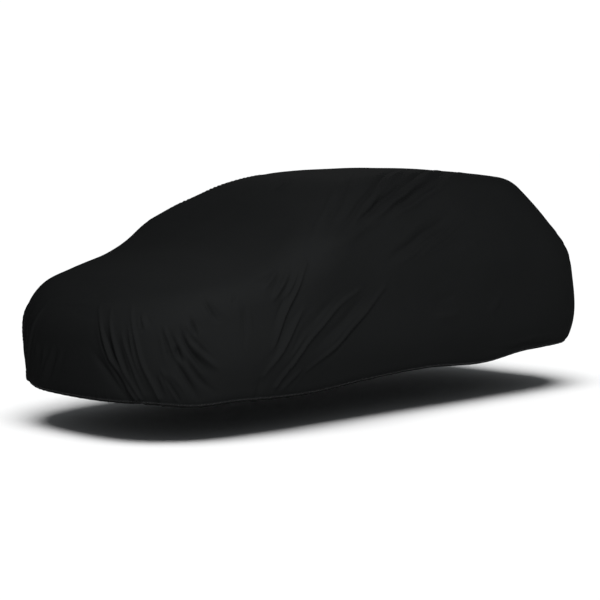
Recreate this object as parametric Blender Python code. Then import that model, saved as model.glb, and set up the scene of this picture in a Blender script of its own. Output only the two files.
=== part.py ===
"""Fitted cover for a small hatchback car: one hollow sheet of stretch cloth, open underneath.

Metres, Z up. The nose points to -Y and the car's left side to +X. The origin is at the middle of the
cover, on the inside of the cloth at the highest point of the roof, where the car's roof carries it.
Heights in the tables are above the ground, which lies GROUND_BELOW under the origin.
"""
import bpy
import numpy as np

for old in list(bpy.data.objects):
    bpy.data.objects.remove(old, do_unlink=True)

CLOTH_THICKNESS = 0.002
ROOF_ALONG = 0.38
GROUND_BELOW = 1.483

# The mesh: columns round the cover, closer together towards the nose, and rings up it. Each column
# is an upright section traced outward from a point on the middle line, FAN_HEIGHT above the ground.
COLUMN_COUNT = 110
COLUMN_CROWDING = 0.35
RING_COUNT = 22
SECTION_STEPS = 150
BISECTIONS = 34
FAN_HEIGHT = 0.62
FOLD_STEPS = 13

# Nose and tail: place at the height where each reaches furthest, how much it sweeps back at
# SWEEP_WIDTH from the middle line, how it leans away above and below, and how softly it turns
# into the sides.
NOSE_ALONG = -2.050
NOSE_SWEEP = 0.141
NOSE_LEAN = 0.233
NOSE_MIDDLE = 0.434
TAIL_ALONG = 1.906
TAIL_SWEEP = 0.000
TAIL_LEAN = 0.542
TAIL_MIDDLE = 0.566
SWEEP_WIDTH = 0.80
NOSE_CORNER_BLEND = 0.506
TAIL_CORNER_BLEND = 0.523

# The elastic draws the hem in by HEM_PULL, fading out over HEM_REACH up the cloth.
HEM_PULL = 0.020
HEM_REACH = 0.07

# Middle line of the top: place along the car, height, how much the top falls per square metre out,
# and how softly it turns over its edges.
TOP_COLUMNS = ("along", "height", "crown", "edge")
TOP_ROWS = (
    (-2.30, 0.588, 0.142, 0.146),
    (-2.00, 0.760, 0.139, 0.145),
    (-1.75, 0.879, 0.134, 0.140),
    (-1.45, 0.960, 0.132, 0.137),
    (-1.15, 1.039, 0.150, 0.135),
    (-0.90, 1.148, 0.187, 0.133),
    (-0.60, 1.314, 0.206, 0.133),
    (-0.35, 1.416, 0.174, 0.134),
    (-0.05, 1.468, 0.138, 0.134),
    (0.35, 1.485, 0.120, 0.133),
    (0.85, 1.473, 0.120, 0.115),
    (1.25, 1.446, 0.129, 0.070),
    (1.45, 1.413, 0.147, 0.045),
    (1.70, 1.217, 0.178, 0.045),
    (1.90, 0.989, 0.199, 0.068),
    (2.20, 0.550, 0.201, 0.083),
)

# Half width along the car, and the share of it kept at each height.
WIDTH_COLUMNS = ("along", "half_width")
WIDTH_ROWS = (
    (-2.20, 0.761),
    (-1.60, 0.800),
    (-1.20, 0.830),
    (-0.60, 0.839),
    (0.30, 0.848),
    (1.00, 0.844),
    (1.50, 0.824),
    (2.10, 0.773),
)
LEAN_COLUMNS = ("height", "share")
LEAN_ROWS = (
    (0.00, 0.899),
    (0.20, 0.945),
    (0.45, 1.030),
    (0.70, 1.022),
    (0.95, 0.983),
    (1.15, 0.861),
    (1.35, 0.718),
    (1.55, 0.591),
    (1.80, 0.419),
)

# Lower edge of the cover on the left and on the right side.
HEM_COLUMNS = ("along", "left_height", "right_height")
HEM_ROWS = (
    (-2.10, 0.222, 0.222),
    (-1.95, 0.220, 0.232),
    (-1.70, 0.196, 0.222),
    (-1.45, 0.206, 0.215),
    (-1.20, 0.200, 0.205),
    (-0.90, 0.198, 0.200),
    (-0.40, 0.235, 0.225),
    (0.10, 0.256, 0.245),
    (0.75, 0.244, 0.245),
    (1.05, 0.281, 0.275),
    (1.45, 0.292, 0.290),
    (1.75, 0.285, 0.285),
    (2.05, 0.270, 0.270),
)

# Where the columns of the mesh stand, over half the way round from the middle of the nose:
# the point each aims at in plan, and the point of the middle line it starts from.
LAYOUT_COLUMNS = ("around", "aim_out", "aim_along", "start_along")
LAYOUT_ROWS = (
    (0.000, 0.00, -2.06, -1.26),
    (0.035, 0.30, -2.04, -1.24),
    (0.070, 0.57, -1.96, -1.20),
    (0.100, 0.75, -1.83, -1.15),
    (0.130, 0.83, -1.63, -1.09),
    (0.165, 0.85, -1.37, -1.00),
    (0.205, 0.86, -1.05, -0.82),
    (0.250, 0.86, -0.66, -0.53),
    (0.300, 0.86, -0.15, -0.12),
    (0.350, 0.86, 0.42, 0.38),
    (0.395, 0.86, 0.98, 0.84),
    (0.425, 0.83, 1.38, 1.08),
    (0.450, 0.74, 1.70, 1.20),
    (0.475, 0.46, 1.86, 1.27),
    (0.500, 0.00, 1.92, 1.30),
)

# Bulges over the two door mirrors: middle, height of the tip, and how far the flanks reach.
MIRROR_COLUMNS = (
    "out", "along", "height", "rise", "tip",
    "reach_front", "reach_back", "reach_down", "reach_up", "reach_in",
)
MIRROR_ROWS = (
    (0.82, -0.80, 1.04, 0.12, 0.50, 0.17, 0.20, 0.12, 0.17, 0.16),
    (-0.82, -0.74, 1.06, 0.12, 0.50, 0.17, 0.20, 0.12, 0.17, 0.16),
)

# Folds: three places each runs through, as shares of the way round (from the middle of the nose over
# the left side) and of the way up (from the hem to the middle line), then its width, its height over
# the cloth (below 0 a trough), and the share of that height it keeps at its first and its last place.
FOLD_COLUMNS = (
    "around_a", "up_a", "around_b", "up_b", "around_c", "up_c",
    "width", "rise", "start", "finish",
)
FOLD_ROWS = (
    (0.027, 0.394, 0.042, 0.196, 0.062, 0.035, 0.039, 0.011, 0.3, 1.0),
    (0.039, 0.382, 0.049, 0.193, 0.066, 0.033, 0.039, 0.010, 0.3, 1.0),
    (0.057, 0.388, 0.066, 0.198, 0.080, 0.040, 0.041, 0.013, 0.3, 1.0),
    (0.081, 0.156, 0.086, 0.097, 0.094, 0.038, 0.041, 0.009, 0.0, 0.6),
    (0.024, 0.228, 0.040, 0.125, 0.054, 0.034, 0.041, -0.010, 0.0, 0.6),
    (-0.012, 0.239, -0.021, 0.144, -0.032, 0.050, 0.052, 0.007, 0.0, 0.5),
    (-0.024, 0.394, 0.018, 0.417, 0.064, 0.372, 0.052, 0.007, 0.0, 0.0),
    (0.083, 0.329, 0.096, 0.184, 0.110, 0.043, 0.041, -0.014, 0.2, 0.6),
    (0.103, 0.273, 0.119, 0.217, 0.132, 0.138, 0.044, -0.013, 0.0, 0.0),
    (0.098, 0.183, 0.112, 0.123, 0.128, 0.055, 0.041, -0.010, 0.0, 0.3),
    (0.117, 0.406, 0.124, 0.344, 0.131, 0.300, 0.041, -0.013, 0.3, 0.0),
    (0.212, 0.463, 0.193, 0.341, 0.179, 0.192, 0.041, 0.015, 0.6, 0.2),
    (0.204, 0.450, 0.194, 0.400, 0.186, 0.350, 0.039, -0.014, 0.4, 0.0),
    (0.210, 0.347, 0.192, 0.224, 0.172, 0.098, 0.041, 0.014, 0.0, 0.3),
    (0.171, 0.106, 0.169, 0.061, 0.168, 0.017, 0.039, -0.011, 0.0, 1.0),
    (0.212, 0.472, 0.224, 0.461, 0.236, 0.450, 0.039, -0.010, 0.0, 0.0),
    (0.257, 0.335, 0.216, 0.224, 0.185, 0.052, 0.044, 0.021, 0.2, 0.6),
    (0.246, 0.363, 0.219, 0.269, 0.192, 0.160, 0.046, -0.011, 0.1, 0.2),
    (0.282, 0.316, 0.250, 0.203, 0.213, 0.099, 0.044, 0.018, 0.2, 0.3),
    (0.271, 0.327, 0.242, 0.237, 0.210, 0.151, 0.046, -0.015, 0.1, 0.2),
    (0.211, 0.122, 0.201, 0.083, 0.193, 0.044, 0.039, 0.010, 0.0, 0.6),
    (0.234, 0.573, 0.263, 0.656, 0.296, 0.755, 0.046, 0.014, 0.2, 0.3),
    (0.268, 0.606, 0.281, 0.650, 0.294, 0.706, 0.041, -0.011, 0.0, 0.2),
    (0.247, 0.527, 0.292, 0.614, 0.337, 0.717, 0.046, -0.018, 0.2, 0.5),
    (0.292, 0.573, 0.321, 0.624, 0.351, 0.710, 0.044, -0.015, 0.0, 0.5),
    (0.342, 0.622, 0.357, 0.661, 0.375, 0.711, 0.041, -0.010, 0.0, 0.4),
    (0.266, 0.439, 0.318, 0.526, 0.369, 0.693, 0.069, 0.021, 0.2, 0.5),
    (0.285, 0.405, 0.316, 0.450, 0.347, 0.534, 0.057, -0.016, 0.0, 0.0),
    (0.306, 0.389, 0.326, 0.444, 0.353, 0.517, 0.052, 0.013, 0.0, 0.0),
    (0.379, 0.250, 0.374, 0.217, 0.367, 0.183, 0.063, 0.008, 0.0, 0.0),
    (0.318, 0.183, 0.333, 0.189, 0.347, 0.200, 0.069, 0.008, 0.0, 0.0),
    (0.253, 0.939, 0.268, 0.944, 0.286, 0.967, 0.041, 0.008, 0.0, 0.3),
    (0.376, 0.051, 0.405, 0.023, 0.433, 0.031, 0.039, -0.013, 0.3, 0.5),
    (0.965, 0.390, 0.953, 0.200, 0.940, 0.035, 0.036, 0.010, 0.3, 1.0),
    (0.945, 0.380, 0.935, 0.190, 0.921, 0.035, 0.036, -0.010, 0.3, 1.0),
    (0.925, 0.360, 0.913, 0.200, 0.900, 0.040, 0.036, 0.009, 0.2, 0.8),
    (0.905, 0.330, 0.888, 0.210, 0.872, 0.060, 0.038, -0.011, 0.2, 0.4),
    (0.885, 0.400, 0.873, 0.330, 0.858, 0.260, 0.038, -0.010, 0.3, 0.0),
    (0.795, 0.460, 0.812, 0.330, 0.832, 0.170, 0.038, 0.014, 0.5, 0.2),
    (0.800, 0.440, 0.812, 0.380, 0.825, 0.320, 0.036, -0.011, 0.3, 0.0),
    (0.752, 0.360, 0.786, 0.220, 0.822, 0.040, 0.040, 0.017, 0.2, 0.6),
    (0.735, 0.340, 0.762, 0.220, 0.795, 0.100, 0.042, -0.012, 0.2, 0.2),
    (0.722, 0.310, 0.748, 0.190, 0.785, 0.080, 0.040, 0.014, 0.2, 0.3),
    (0.765, 0.560, 0.735, 0.650, 0.700, 0.760, 0.042, 0.012, 0.2, 0.3),
    (0.750, 0.530, 0.705, 0.620, 0.662, 0.720, 0.042, -0.015, 0.2, 0.5),
    (0.738, 0.440, 0.684, 0.540, 0.628, 0.690, 0.062, 0.017, 0.2, 0.5),
    (0.715, 0.400, 0.680, 0.450, 0.645, 0.550, 0.052, -0.012, 0.0, 0.0),
    (0.640, 0.260, 0.615, 0.160, 0.590, 0.040, 0.055, 0.009, 0.0, 0.6),
    (0.455, 0.500, 0.462, 0.280, 0.470, 0.040, 0.060, 0.009, 0.2, 0.8),
    (0.485, 0.450, 0.488, 0.250, 0.490, 0.030, 0.060, -0.008, 0.0, 0.8),
    (0.520, 0.480, 0.514, 0.260, 0.508, 0.030, 0.060, 0.008, 0.0, 0.8),
    (0.545, 0.520, 0.537, 0.300, 0.530, 0.040, 0.060, -0.009, 0.2, 0.8),
    (0.430, 0.600, 0.440, 0.420, 0.447, 0.250, 0.060, 0.009, 0.3, 0.0),
    (0.572, 0.580, 0.562, 0.420, 0.553, 0.220, 0.060, 0.010, 0.3, 0.0),
)


def read_table(columns, rows):
    return {name: np.array([row[i] for row in rows]) for i, name in enumerate(columns)}


TOP = read_table(TOP_COLUMNS, TOP_ROWS)
WIDTH = read_table(WIDTH_COLUMNS, WIDTH_ROWS)
LEAN = read_table(LEAN_COLUMNS, LEAN_ROWS)
HEM = read_table(HEM_COLUMNS, HEM_ROWS)
LAYOUT = read_table(LAYOUT_COLUMNS, LAYOUT_ROWS)
MIRROR = read_table(MIRROR_COLUMNS, MIRROR_ROWS)
FOLD = read_table(FOLD_COLUMNS, FOLD_ROWS)


def smooth_curve(place, places, values):
    """A smooth curve through the rows of a table, read at the given places."""
    place = np.asarray(place, float)
    gaps = np.diff(places)
    steps = np.diff(values) / gaps
    slopes = np.empty(len(places))
    slopes[0] = steps[0]
    slopes[-1] = steps[-1]
    slopes[1:-1] = (steps[:-1] * gaps[1:] + steps[1:] * gaps[:-1]) / (gaps[1:] + gaps[:-1])
    row = np.clip(np.searchsorted(places, place) - 1, 0, len(places) - 2)
    gap = gaps[row]
    part = np.clip((place - places[row]) / gap, 0.0, 1.0)
    square = part * part
    cube = square * part
    return ((2 * cube - 3 * square + 1) * values[row]
            + (cube - 2 * square + part) * gap * slopes[row]
            + (3 * square - 2 * cube) * values[row + 1]
            + (cube - square) * gap * slopes[row + 1])


def soft_maximum(first, second, blend):
    """The larger of two distances, rounded off where they are within the blend of each other."""
    near = np.maximum(blend - np.abs(first - second), 0.0)
    return np.maximum(first, second) + near * near / (4.0 * blend)


def outside_of_car(out, along, height):
    """Distance-like number: below 0 inside the smooth body the cloth is drawn over, above 0 outside."""
    out = np.abs(out)
    top = smooth_curve(along, TOP["along"], TOP["height"])
    crown = smooth_curve(along, TOP["along"], TOP["crown"])
    ahead = smooth_curve(along + 0.02, TOP["along"], TOP["height"])
    behind = smooth_curve(along - 0.02, TOP["along"], TOP["height"])
    slope = (ahead - behind) / 0.04
    above = (height - top + crown * out ** 2) / np.sqrt(1.0 + slope ** 2)
    half_width = smooth_curve(along, WIDTH["along"], WIDTH["half_width"])
    share = smooth_curve(height, LEAN["height"], LEAN["share"])
    beside = out - half_width * share
    sweep = (out / SWEEP_WIDTH) ** 2
    nose = NOSE_ALONG + NOSE_SWEEP * sweep + NOSE_LEAN * (height - NOSE_MIDDLE) ** 2
    tail = TAIL_ALONG - TAIL_SWEEP * sweep - TAIL_LEAN * (height - TAIL_MIDDLE) ** 2
    outside = soft_maximum(beside, nose - along, NOSE_CORNER_BLEND)
    outside = soft_maximum(outside, along - tail, TAIL_CORNER_BLEND)
    edge = smooth_curve(along, TOP["along"], TOP["edge"])
    return soft_maximum(outside, above, edge)


def column_plan(around):
    """For each place round the cover, its start on the middle line and its direction in plan."""
    half = np.where(around <= 0.5, around, 1.0 - around)
    side = np.where(around <= 0.5, 1.0, -1.0)
    start = smooth_curve(half, LAYOUT["around"], LAYOUT["start_along"])
    out = side * smooth_curve(half, LAYOUT["around"], LAYOUT["aim_out"])
    along = smooth_curve(half, LAYOUT["around"], LAYOUT["aim_along"]) - start
    length = np.hypot(out, along)
    return start, out / length, along / length


def trace_sections(around):
    """Upright sections of the body at each place round it, as points from below the hem to the top."""
    start, out, along = column_plan(around)
    angle = np.radians(np.linspace(-75.0, 90.0, SECTION_STEPS))
    level = np.cos(angle)
    rise = np.sin(angle)
    inner = np.zeros((len(around), SECTION_STEPS))
    outer = np.full((len(around), SECTION_STEPS), 3.0)
    for _ in range(BISECTIONS):
        reach = (inner + outer) / 2.0
        points_out = reach * level * out[:, None]
        points_along = start[:, None] + reach * level * along[:, None]
        points_height = FAN_HEIGHT + reach * rise
        covered = (outside_of_car(points_out, points_along, points_height) < 0.0) & (points_height > -0.3)
        inner = np.where(covered, reach, inner)
        outer = np.where(covered, outer, reach)
    return np.stack([points_out, points_along, points_height], axis=-1)


def hem_height(out, along):
    left = smooth_curve(along, HEM["along"], HEM["left_height"])
    right = smooth_curve(along, HEM["along"], HEM["right_height"])
    mix = np.clip(0.5 + out / 0.8, 0.0, 1.0)
    return right + (left - right) * mix


def cut_at_hem(section):
    """The part of one section above the hem, starting exactly on it."""
    above = section[:, 2] - hem_height(section[:, 0], section[:, 1])
    first = max(int(np.argmax(above > 0.0)), 1)
    part = -above[first - 1] / (above[first] - above[first - 1])
    start = section[first - 1] + (section[first] - section[first - 1]) * part
    return np.vstack([start, section[first:]])


def body_grid(around, up):
    """Points of the smooth cover: one row of points per place round it, from the hem to the top."""
    grid = np.zeros((len(around), len(up), 3))
    lengths = np.zeros(len(around))
    for i, section in enumerate(trace_sections(around)):
        line = cut_at_hem(section)
        steps = np.linalg.norm(np.diff(line, axis=0), axis=1)
        reach = np.concatenate([[0.0], np.cumsum(steps)])
        lengths[i] = reach[-1]
        for axis in range(3):
            grid[i, :, axis] = np.interp(up * reach[-1], reach, line[:, axis])
    return grid, lengths


def column_places():
    """Places round the cover, the same on both sides, closer together towards the nose."""
    half = COLUMN_COUNT // 2
    step = np.arange(half + 1) / half
    left = 0.5 * step * (1.0 - COLUMN_CROWDING + COLUMN_CROWDING * step)
    return np.concatenate([left, 1.0 - left[-2:0:-1]])


def ring_places():
    """Heights of the rings as shares of each section, with two narrow rings along the hem."""
    even = np.linspace(0.045, 1.0, RING_COUNT - 1)
    return np.concatenate([[0.0, 0.020], even])


def weld_faces(columns, rings):
    """Four-sided faces over the grid. Left and right columns share their points on the middle line."""

    def index(column, ring):
        column = column % columns
        if ring < rings - 1:
            return column * (rings - 1) + ring
        return columns * (rings - 1) + min(column, columns - column)

    faces = []
    for column in range(columns):
        for ring in range(rings - 1):
            corners = [index(column, ring), index(column + 1, ring),
                       index(column + 1, ring + 1), index(column, ring + 1)]
            faces.append(corners)
    return faces


def weld_points(grid):
    columns, rings = grid.shape[:2]
    body = grid[:, :-1].reshape(-1, 3)
    middle = grid[:columns // 2 + 1, -1].copy()
    middle[:, 0] = 0.0
    return np.vstack([body, middle])


def point_normals(points, faces):
    """Outward directions at the points, from the crossed diagonals of the faces round each."""
    corners = points[np.array(faces)]
    across = np.cross(corners[:, 2] - corners[:, 0], corners[:, 3] - corners[:, 1])
    normals = np.zeros_like(points)
    for corner in range(4):
        np.add.at(normals, np.array(faces)[:, corner], across)
    return normals / np.linalg.norm(normals, axis=1)[:, None]


def mirror_rise(points, row):
    """How far the cloth stands off over one door mirror: a soft tip with long drawn-out flanks."""
    centre = np.array([MIRROR["out"][row], MIRROR["along"][row], MIRROR["height"][row]])
    offset = points - centre
    stretch = np.where(offset[:, 1] < 0.0, MIRROR["reach_front"][row], MIRROR["reach_back"][row])
    spread = np.where(offset[:, 2] < 0.0, MIRROR["reach_down"][row], MIRROR["reach_up"][row])
    distance = np.sqrt((offset[:, 1] / stretch) ** 2 + (offset[:, 2] / spread) ** 2
                       + (offset[:, 0] / MIRROR["reach_in"][row]) ** 2)
    tip = MIRROR["tip"][row]
    return MIRROR["rise"][row] * np.exp(tip - np.sqrt(distance ** 2 + tip ** 2))


def read_grid(grid, around_places, up_places, around, up):
    """Points on a grid at any places round it and up it."""
    around = around % 1.0
    wrapped = np.concatenate([around_places, [1.0]])
    column = np.clip(np.searchsorted(wrapped, around, side="right") - 1, 0, len(around_places) - 1)
    part = ((around - wrapped[column]) / (wrapped[column + 1] - wrapped[column]))[:, None]
    up = np.clip(up, 0.0, 1.0)
    ring = np.clip(np.searchsorted(up_places, up, side="right") - 1, 0, len(up_places) - 2)
    share = ((up - up_places[ring]) / (up_places[ring + 1] - up_places[ring]))[:, None]
    following = (column + 1) % len(around_places)
    low = grid[column, ring] * (1 - part) + grid[following, ring] * part
    high = grid[column, ring + 1] * (1 - part) + grid[following, ring + 1] * part
    return low * (1 - share) + high * share


def fold_path(row, grid, around_places, up_places):
    """Points along one fold: a curve through its three places on the cover."""
    step = np.linspace(0.0, 1.0, FOLD_STEPS)
    first = 2.0 * (step - 0.5) * (step - 1.0)
    middle = 4.0 * step * (1.0 - step)
    last = 2.0 * step * (step - 0.5)
    around = (first * FOLD["around_a"][row] + middle * FOLD["around_b"][row]
              + last * FOLD["around_c"][row])
    up = first * FOLD["up_a"][row] + middle * FOLD["up_b"][row] + last * FOLD["up_c"][row]
    return read_grid(grid, around_places, up_places, around, up)


def distance_to_path(points, path):
    """Distance of each point from a path, and how far along the path its nearest place lies."""
    nearest = np.full(len(points), 1e9)
    place = np.zeros(len(points))
    for i in range(len(path) - 1):
        step = path[i + 1] - path[i]
        part = np.clip((points - path[i]) @ step / (step @ step), 0.0, 1.0)
        distance = np.linalg.norm(points - path[i] - part[:, None] * step, axis=1)
        closer = distance < nearest
        nearest = np.where(closer, distance, nearest)
        place = np.where(closer, (i + part) / (len(path) - 1), place)
    return nearest, place


def soft_step(value):
    value = np.clip(value, 0.0, 1.0)
    return value * value * (3.0 - 2.0 * value)


def fold_rise(points, row, path):
    """Height of one fold over the cloth: above 0 a ridge, below 0 a trough, fading at its ends."""
    distance, place = distance_to_path(points, path)
    start = FOLD["start"][row]
    finish = FOLD["finish"][row]
    fade = start + (1.0 - start) * soft_step(place / 0.4)
    fade = fade * (finish + (1.0 - finish) * soft_step((1.0 - place) / 0.4))
    return FOLD["rise"][row] * fade * np.exp(-(distance / FOLD["width"][row]) ** 2)


def hem_pull(points, columns, rings, lengths, ring_share):
    """Inward pull of the elastic along the hem, fading out up the cloth."""
    pull = np.zeros(len(points))
    reach = lengths[:, None] * ring_share[None, :-1]
    depth = HEM_PULL * np.clip(1.0 - reach / HEM_REACH, 0.0, 1.0) ** 2
    pull[:columns * (rings - 1)] = -depth.reshape(-1)
    return pull


def cover_outside():
    """Points and faces of the outside of the cloth, with mirror bulges, folds and drawn-in hem."""
    around = column_places()
    up = ring_places()
    grid, lengths = body_grid(around, up)
    faces = weld_faces(*grid.shape[:2])
    points = weld_points(grid)
    normals = point_normals(points, faces)
    rise = np.zeros(len(points))
    for row in range(len(MIRROR_ROWS)):
        rise += mirror_rise(points, row)
    for row in range(len(FOLD_ROWS)):
        rise += fold_rise(points, row, fold_path(row, grid, around, up))
    points = points + normals * rise[:, None]
    normals = point_normals(points, faces)
    pull = hem_pull(points, *grid.shape[:2], lengths, up)
    return points + normals * pull[:, None], faces, grid.shape[:2]


def split_faces(points, faces):
    """Each four-sided face as two triangles, cut along the diagonal that runs with the slanting folds."""
    triangles = []
    for a, b, c, d in faces:
        if points[a][0] + points[c][0] >= 0.0:
            triangles += [(a, b, c), (a, c, d)]
        else:
            triangles += [(a, b, d), (b, c, d)]
    return triangles


def close_shell(points, faces, columns, rings):
    """Triangles of one closed body: the outside, the inside one cloth thickness in, and the hem's edge.

    Both sides of the cloth are cut along the same diagonals, so it is equally thick all over.
    """
    count = len(points)
    inside = points - point_normals(points, faces) * CLOTH_THICKNESS
    outer = split_faces(points, faces)
    inner = [(count + c, count + b, count + a) for a, b, c in outer]
    edge = []
    for column in range(columns):
        here = column * (rings - 1)
        following = (column + 1) % columns * (rings - 1)
        edge += [(following, here, count + here), (following, count + here, count + following)]
    return np.vstack([points, inside]), outer + inner + edge


def cloth_material():
    material = bpy.data.materials.new("cover_cloth")
    material.use_nodes = True
    shader = material.node_tree.nodes["Principled BSDF"]
    shader.inputs["Base Color"].default_value = (0.012, 0.012, 0.013, 1.0)
    shader.inputs["Roughness"].default_value = 0.55
    shader.inputs["Metallic"].default_value = 0.0
    return material


def build_cover():
    points, faces, size = cover_outside()
    points, triangles = close_shell(points, faces, *size)
    points[:, 1] -= ROOF_ALONG
    points[:, 2] -= GROUND_BELOW
    mesh = bpy.data.meshes.new("cover")
    mesh.from_pydata(points.tolist(), [], triangles)
    mesh.update()
    mesh.polygons.foreach_set("use_smooth", [True] * len(mesh.polygons))
    mesh.materials.append(cloth_material())
    cover = bpy.data.objects.new("cover", mesh)
    bpy.context.scene.collection.objects.link(cover)
    return cover


build_cover()
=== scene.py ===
import math
import bpy
import numpy as np
from mathutils import Matrix, Vector


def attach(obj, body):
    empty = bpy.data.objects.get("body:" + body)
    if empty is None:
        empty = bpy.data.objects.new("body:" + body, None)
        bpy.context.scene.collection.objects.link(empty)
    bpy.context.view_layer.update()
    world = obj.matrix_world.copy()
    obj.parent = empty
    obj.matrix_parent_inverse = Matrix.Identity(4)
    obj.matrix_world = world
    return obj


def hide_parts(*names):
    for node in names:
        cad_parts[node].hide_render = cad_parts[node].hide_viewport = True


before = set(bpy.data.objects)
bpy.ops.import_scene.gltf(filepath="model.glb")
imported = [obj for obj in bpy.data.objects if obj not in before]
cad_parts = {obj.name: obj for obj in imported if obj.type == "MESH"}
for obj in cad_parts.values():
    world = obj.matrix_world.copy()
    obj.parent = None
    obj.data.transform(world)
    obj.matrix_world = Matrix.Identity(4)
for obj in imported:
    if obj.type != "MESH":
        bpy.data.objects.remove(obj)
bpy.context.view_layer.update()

# shapes are worked out with the ground at height 0, in metres. The frame's origin is on the inside of
# the roof cloth, so every finished shape is moved by these two.
place = {"roofAlong": 0.38, "groundBelow": 1.483}


def table(columns, rows):
    # named columns, each an array with one value for every row
    names = columns.split()
    return {name: np.array([row[i] for row in rows], float) for i, name in enumerate(names)}


# the body the cloth is drawn over: out is to the left, along is towards the tail
body = {
    "noseAlong": -2.050, "noseSweep": 0.141, "noseLean": 0.233, "noseMiddle": 0.434,
    "tailAlong": 1.906, "tailLean": 0.542, "tailMiddle": 0.566,
    "sweepWidth": 0.80, "noseCorner": 0.506, "tailCorner": 0.523, "slopeStep": 0.02,
    "fanHeight": 0.62, "fanLow": -75.0, "fanHigh": 90.0, "fanReach": 3.0, "floorBelow": -0.3,
    "sectionSteps": 220, "halvings": 34, "hemBlend": 0.8,
}
# the middle line from nose to tail: its height, how much the top falls away to the sides, and how
# widely its edge is rounded into them
topLine = table("along height crown edge", [
    (-2.30, 0.588, 0.142, 0.146), (-2.00, 0.760, 0.139, 0.145), (-1.75, 0.879, 0.134, 0.140),
    (-1.45, 0.960, 0.132, 0.137), (-1.15, 1.039, 0.150, 0.135), (-0.90, 1.148, 0.187, 0.133),
    (-0.60, 1.314, 0.206, 0.133), (-0.35, 1.416, 0.174, 0.134), (-0.05, 1.468, 0.138, 0.134),
    (0.35, 1.485, 0.120, 0.133), (0.85, 1.473, 0.120, 0.115), (1.25, 1.446, 0.129, 0.070),
    (1.45, 1.413, 0.147, 0.045), (1.70, 1.217, 0.178, 0.045), (1.90, 0.989, 0.199, 0.068),
    (2.20, 0.550, 0.201, 0.083)])
# half the width along the body, and the share of it that each height has
halfWidth = table("along out", [
    (-2.20, 0.761), (-1.60, 0.800), (-1.20, 0.830), (-0.60, 0.839),
    (0.30, 0.848), (1.00, 0.844), (1.50, 0.824), (2.10, 0.773)])
sideLean = table("height share", [
    (0.00, 0.899), (0.20, 0.945), (0.45, 1.030), (0.70, 1.022), (0.95, 0.983),
    (1.15, 0.861), (1.35, 0.718), (1.55, 0.591), (1.80, 0.419)])
hemLine = table("along left right", [
    (-2.10, 0.222, 0.222), (-1.95, 0.220, 0.232), (-1.70, 0.196, 0.222), (-1.45, 0.206, 0.215),
    (-1.20, 0.200, 0.205), (-0.90, 0.198, 0.200), (-0.40, 0.235, 0.225), (0.10, 0.256, 0.245),
    (0.75, 0.244, 0.245), (1.05, 0.281, 0.275), (1.45, 0.292, 0.290), (1.75, 0.285, 0.285),
    (2.05, 0.270, 0.270)])
# over half the way round from the middle of the nose: the point in plan that a column of the mesh
# aims at, and the place on the middle line that it starts from
layout = table("around out along start", [
    (0.000, 0.00, -2.06, -1.26), (0.035, 0.30, -2.04, -1.24), (0.070, 0.57, -1.96, -1.20),
    (0.100, 0.75, -1.83, -1.15), (0.130, 0.83, -1.63, -1.09), (0.165, 0.85, -1.37, -1.00),
    (0.205, 0.86, -1.05, -0.82), (0.250, 0.86, -0.66, -0.53), (0.300, 0.86, -0.15, -0.12),
    (0.350, 0.86, 0.42, 0.38), (0.395, 0.86, 0.98, 0.84), (0.425, 0.83, 1.38, 1.08),
    (0.450, 0.74, 1.70, 1.20), (0.475, 0.46, 1.86, 1.27), (0.500, 0.00, 1.92, 1.30)])


def curve(at, places, values):
    # a smooth curve through the values of a table's column
    at = np.asarray(at, float)
    gaps = np.diff(places)
    steps = np.diff(values) / gaps
    slopes = np.empty(len(places))
    slopes[0] = steps[0]
    slopes[-1] = steps[-1]
    slopes[1:-1] = (steps[:-1] * gaps[1:] + steps[1:] * gaps[:-1]) / (gaps[1:] + gaps[:-1])
    row = np.clip(np.searchsorted(places, at) - 1, 0, len(places) - 2)
    gap = gaps[row]
    t = np.clip((at - places[row]) / gap, 0.0, 1.0)
    return ((2 * t ** 3 - 3 * t ** 2 + 1) * values[row] + (t ** 3 - 2 * t ** 2 + t) * gap * slopes[row]
            + (3 * t ** 2 - 2 * t ** 3) * values[row + 1] + (t ** 3 - t ** 2) * gap * slopes[row + 1])


def softMax(a, b, blend):
    # the larger of the two, rounded off where they are within the blend of each other
    near = np.maximum(blend - np.abs(a - b), 0.0)
    return np.maximum(a, b) + near * near / (4.0 * blend)


def softStep(value):
    value = np.clip(value, 0.0, 1.0)
    return value * value * (3.0 - 2.0 * value)


def outsideBody(out, along, height):
    # below 0 inside the body, above 0 outside: two sides, nose, tail and top, rounded into each other
    out = np.abs(out)
    step = body["slopeStep"]
    slope = curve(along + step, topLine["along"], topLine["height"])
    slope = (slope - curve(along - step, topLine["along"], topLine["height"])) / (2 * step)
    above = height - curve(along, topLine["along"], topLine["height"])
    above = above + curve(along, topLine["along"], topLine["crown"]) * out ** 2
    above = above / np.sqrt(1 + slope ** 2)
    beside = out - curve(along, halfWidth["along"], halfWidth["out"]) * curve(
        height, sideLean["height"], sideLean["share"])
    nose = body["noseAlong"] + body["noseSweep"] * (out / body["sweepWidth"]) ** 2
    nose = nose + body["noseLean"] * (height - body["noseMiddle"]) ** 2
    tail = body["tailAlong"] - body["tailLean"] * (height - body["tailMiddle"]) ** 2
    outside = softMax(beside, nose - along, body["noseCorner"])
    outside = softMax(outside, along - tail, body["tailCorner"])
    return softMax(outside, above, curve(along, topLine["along"], topLine["edge"]))


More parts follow.
